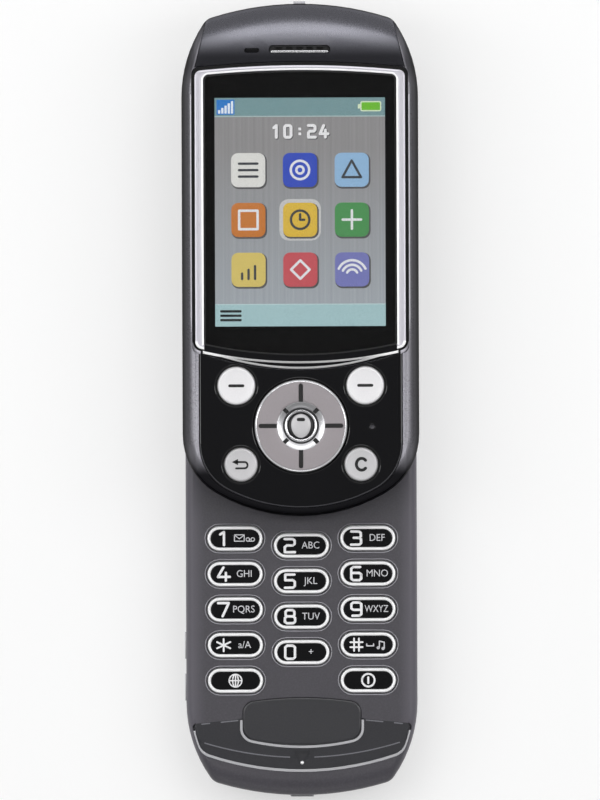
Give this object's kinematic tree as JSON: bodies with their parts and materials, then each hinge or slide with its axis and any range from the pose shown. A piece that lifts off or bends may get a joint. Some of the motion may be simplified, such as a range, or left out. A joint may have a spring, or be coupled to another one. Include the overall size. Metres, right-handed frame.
{
  "type": "swivel phone",
  "caption": "Pocket phone whose display half swivels flat over its keypad half; pill keys, navigation disc, round soft keys, silver-framed screen, lens and sliding battery cover behind.",
  "frame": {"origin": "On the swivel axis, in the plane of the back face that the phone lies on; with the phone open this is the middle of the bottom of its box", "axes": "+X to the right seen from the front, +Y from the keypad towards the earpiece, +Z out of the front face along the swivel axis"},
  "size_m": [0.0486, 0.1634, 0.0245],
  "materials": {
    "frame_gunmetal": "satin",
    "cap_graphite": "satin",
    "bezel_silver": "satin",
    "bright_trim": "polished",
    "window_glass": "gloss",
    "display_grey": "gloss",
    "panel_black": "gloss",
    "key_silver": "satin",
    "nav_grey": "satin",
    "dark_rubber": "matte",
    "silicone": "matte",
    "circuit_board": "satin",
    "steel": "brushed",
    "slide_white": "satin",
    "ribbon_amber": "satin",
    "body_grey": "satin paint",
    "back_grey": "satin paint",
    "trim_dark": "satin",
    "tab_dark": "satin",
    "cell_dark": "satin",
    "black_plastic": "matte",
    "lens_glass": "gloss",
    "light_lens": "gloss",
    "connector_grey": "satin",
    "aerial_brass": "plated",
    "key_rim": "polished",
    "side_key": "satin"
  },
  "bodies": {
    "lower_half": {"keypad_cover": "body_grey", "name_tab": "tab_dark", "chin_trim": "trim_dark", "chin_strip": "bright_trim", "keypad_mat": "silicone", "main_circuit_board": "circuit_board", "rear_cover": "body_grey", "battery": "cell_dark", "camera_module": "black_plastic", "camera_ring": "bright_trim", "camera_window": "lens_glass", "photo_light": "light_lens", "loudspeaker": "black_plastic", "system_connector": "connector_grey", "antenna": "aerial_brass", "lower_screws": "steel", "swivel_base": "steel", "swivel_keeper": "steel", "swivel_wave_washer": "steel", "swivel_slide_ring": "slide_white", "swivel_ribbon": "ribbon_amber"},
    "upper_half": {"upper_frame": "frame_gunmetal", "earpiece_cap": "cap_graphite", "earpiece_grille": "bright_trim", "indicator_window": "panel_black", "display_bezel": "bezel_silver", "display_window": "window_glass", "display_panel": "display_grey", "key_panel": "panel_black", "key_panel_trim": "bright_trim", "upper_key_mat": "silicone", "upper_circuit_board": "circuit_board", "earpiece_capsule": "black_plastic", "upper_rear_cover": "back_grey", "upper_screws": "steel", "swivel_rotor": "steel"},
    "key_1": {"key_1": "key_rim"},
    "key_2": {"key_2": "key_rim"},
    "key_3": {"key_3": "key_rim"},
    "key_4": {"key_4": "key_rim"},
    "key_5": {"key_5": "key_rim"},
    "key_6": {"key_6": "key_rim"},
    "key_7": {"key_7": "key_rim"},
    "key_8": {"key_8": "key_rim"},
    "key_9": {"key_9": "key_rim"},
    "key_star": {"key_star": "key_rim"},
    "key_0": {"key_0": "key_rim"},
    "key_hash": {"key_hash": "key_rim"},
    "key_web": {"key_web": "key_rim"},
    "key_power": {"key_power": "key_rim"},
    "left_soft_key": {"left_soft_key": "key_silver"},
    "right_soft_key": {"right_soft_key": "key_silver"},
    "back_key": {"back_key": "key_silver"},
    "clear_key": {"clear_key": "key_silver"},
    "nav_pivot_pad": {"nav_pivot_pad": "dark_rubber"},
    "nav_disc": {"nav_disc": "nav_grey"},
    "select_button": {"select_button": "key_silver"},
    "volume_rocker": {"volume_rocker": "side_key"},
    "camera_key": {"camera_key": "side_key"},
    "battery_cover": {"battery_cover": "back_grey"}
  },
  "joints": [
    {"name": "swivel", "type": "hinge", "parent": "lower_half", "child": "upper_half", "pos_m": [0, 0, 0.0138], "axis": [0, 0, 1], "range_deg": [0, 180]},
    {"name": "key_1_press", "type": "slide", "parent": "lower_half", "child": "key_1", "axis": [0, 0, -1], "range_m": [0, 0.0005], "stiffness_N_per_m": 2000, "springref_m": -0.0002},
    {"name": "key_2_press", "type": "slide", "parent": "lower_half", "child": "key_2", "axis": [0, 0, -1], "range_m": [0, 0.0005], "stiffness_N_per_m": 2000, "springref_m": -0.0002},
    {"name": "key_3_press", "type": "slide", "parent": "lower_half", "child": "key_3", "axis": [0, 0, -1], "range_m": [0, 0.0005], "stiffness_N_per_m": 2000, "springref_m": -0.0002},
    {"name": "key_4_press", "type": "slide", "parent": "lower_half", "child": "key_4", "axis": [0, 0, -1], "range_m": [0, 0.0005], "stiffness_N_per_m": 2000, "springref_m": -0.0002},
    {"name": "key_5_press", "type": "slide", "parent": "lower_half", "child": "key_5", "axis": [0, 0, -1], "range_m": [0, 0.0005], "stiffness_N_per_m": 2000, "springref_m": -0.0002},
    {"name": "key_6_press", "type": "slide", "parent": "lower_half", "child": "key_6", "axis": [0, 0, -1], "range_m": [0, 0.0005], "stiffness_N_per_m": 2000, "springref_m": -0.0002},
    {"name": "key_7_press", "type": "slide", "parent": "lower_half", "child": "key_7", "axis": [0, 0, -1], "range_m": [0, 0.0005], "stiffness_N_per_m": 2000, "springref_m": -0.0002},
    {"name": "key_8_press", "type": "slide", "parent": "lower_half", "child": "key_8", "axis": [0, 0, -1], "range_m": [0, 0.0005], "stiffness_N_per_m": 2000, "springref_m": -0.0002},
    {"name": "key_9_press", "type": "slide", "parent": "lower_half", "child": "key_9", "axis": [0, 0, -1], "range_m": [0, 0.0005], "stiffness_N_per_m": 2000, "springref_m": -0.0002},
    {"name": "key_star_press", "type": "slide", "parent": "lower_half", "child": "key_star", "axis": [0, 0, -1], "range_m": [0, 0.0005], "stiffness_N_per_m": 2000, "springref_m": -0.0002},
    {"name": "key_0_press", "type": "slide", "parent": "lower_half", "child": "key_0", "axis": [0, 0, -1], "range_m": [0, 0.0005], "stiffness_N_per_m": 2000, "springref_m": -0.0002},
    {"name": "key_hash_press", "type": "slide", "parent": "lower_half", "child": "key_hash", "axis": [0, 0, -1], "range_m": [0, 0.0005], "stiffness_N_per_m": 2000, "springref_m": -0.0002},
    {"name": "key_web_press", "type": "slide", "parent": "lower_half", "child": "key_web", "axis": [0, 0, -1], "range_m": [0, 0.0005], "stiffness_N_per_m": 2000, "springref_m": -0.0002},
    {"name": "key_power_press", "type": "slide", "parent": "lower_half", "child": "key_power", "axis": [0, 0, -1], "range_m": [0, 0.0005], "stiffness_N_per_m": 2000, "springref_m": -0.0002},
    {"name": "left_soft_key_press", "type": "slide", "parent": "upper_half", "child": "left_soft_key", "axis": [0, 0, -1], "range_m": [0, 0.0004], "stiffness_N_per_m": 2000, "springref_m": -0.0002},
    {"name": "right_soft_key_press", "type": "slide", "parent": "upper_half", "child": "right_soft_key", "axis": [0, 0, -1], "range_m": [0, 0.0004], "stiffness_N_per_m": 2000, "springref_m": -0.0002},
    {"name": "back_key_press", "type": "slide", "parent": "upper_half", "child": "back_key", "axis": [0, 0, -1], "range_m": [0, 0.0004], "stiffness_N_per_m": 2000, "springref_m": -0.0002},
    {"name": "clear_key_press", "type": "slide", "parent": "upper_half", "child": "clear_key", "axis": [0, 0, -1], "range_m": [0, 0.0004], "stiffness_N_per_m": 2000, "springref_m": -0.0002},
    {"name": "nav_tip", "type": "hinge", "parent": "upper_half", "child": "nav_pivot_pad", "pos_m": [0, -0.0053, 0.022], "axis": [1, 0, 0], "range_deg": [-2.5, 2.5], "stiffness_Nm_per_rad": 0.2},
    {"name": "nav_roll", "type": "hinge", "parent": "nav_pivot_pad", "child": "nav_disc", "pos_m": [0, -0.0053, 0.022], "axis": [0, 1, 0], "range_deg": [-2.5, 2.5], "stiffness_Nm_per_rad": 0.2},
    {"name": "select_button_press", "type": "slide", "parent": "nav_disc", "child": "select_button", "axis": [0, 0, -1], "range_m": [0, 0.0004], "stiffness_N_per_m": 2000, "springref_m": -0.0002},
    {"name": "volume_rock", "type": "hinge", "parent": "lower_half", "child": "volume_rocker", "pos_m": [-0.02141, -0.05465, 0.0096], "axis": [0, 0, 1], "range_deg": [-2, 2], "stiffness_Nm_per_rad": 0.2},
    {"name": "camera_key_press", "type": "slide", "parent": "lower_half", "child": "camera_key", "axis": [1, 0, 0], "range_m": [0, 0.0004], "stiffness_N_per_m": 2000, "springref_m": -0.0002},
    {"name": "battery_cover_slide", "type": "slide", "parent": "lower_half", "child": "battery_cover", "axis": [0, 1, 0], "range_m": [0, 0.078]}
  ]
}
